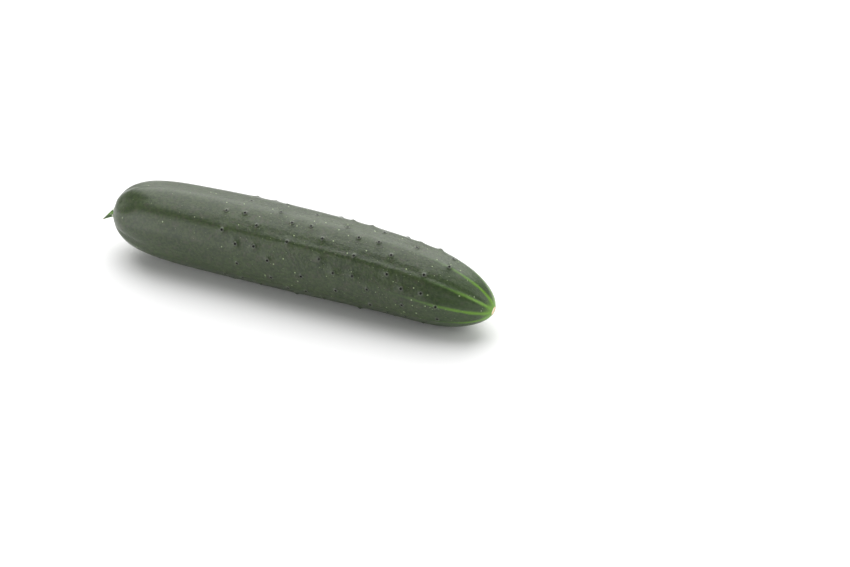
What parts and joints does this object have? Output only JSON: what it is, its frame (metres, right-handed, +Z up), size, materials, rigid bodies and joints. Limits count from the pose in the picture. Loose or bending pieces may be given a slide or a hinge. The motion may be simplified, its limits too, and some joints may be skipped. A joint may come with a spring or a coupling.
{
  "type": "cucumber",
  "caption": "Fresh slicing cucumber lying on its side: a long, slightly bent green fruit with low warts, soft ribs, a corky blossom scar and a short cut stem stub.",
  "frame": {"origin": "on the surface that the cucumber lies on, under the middle of its bounding box", "axes": "+X from the stem end to the blossom end, +Y sideways, to the outer side of its slight bend, +Z up"},
  "size_m": [0.2306, 0.047, 0.0456],
  "materials": {
    "skin": "satin",
    "stem": "matte"
  },
  "bodies": {
    "root": {"fruit": "skin", "stem_stub": "stem"}
  },
  "joints": []
}
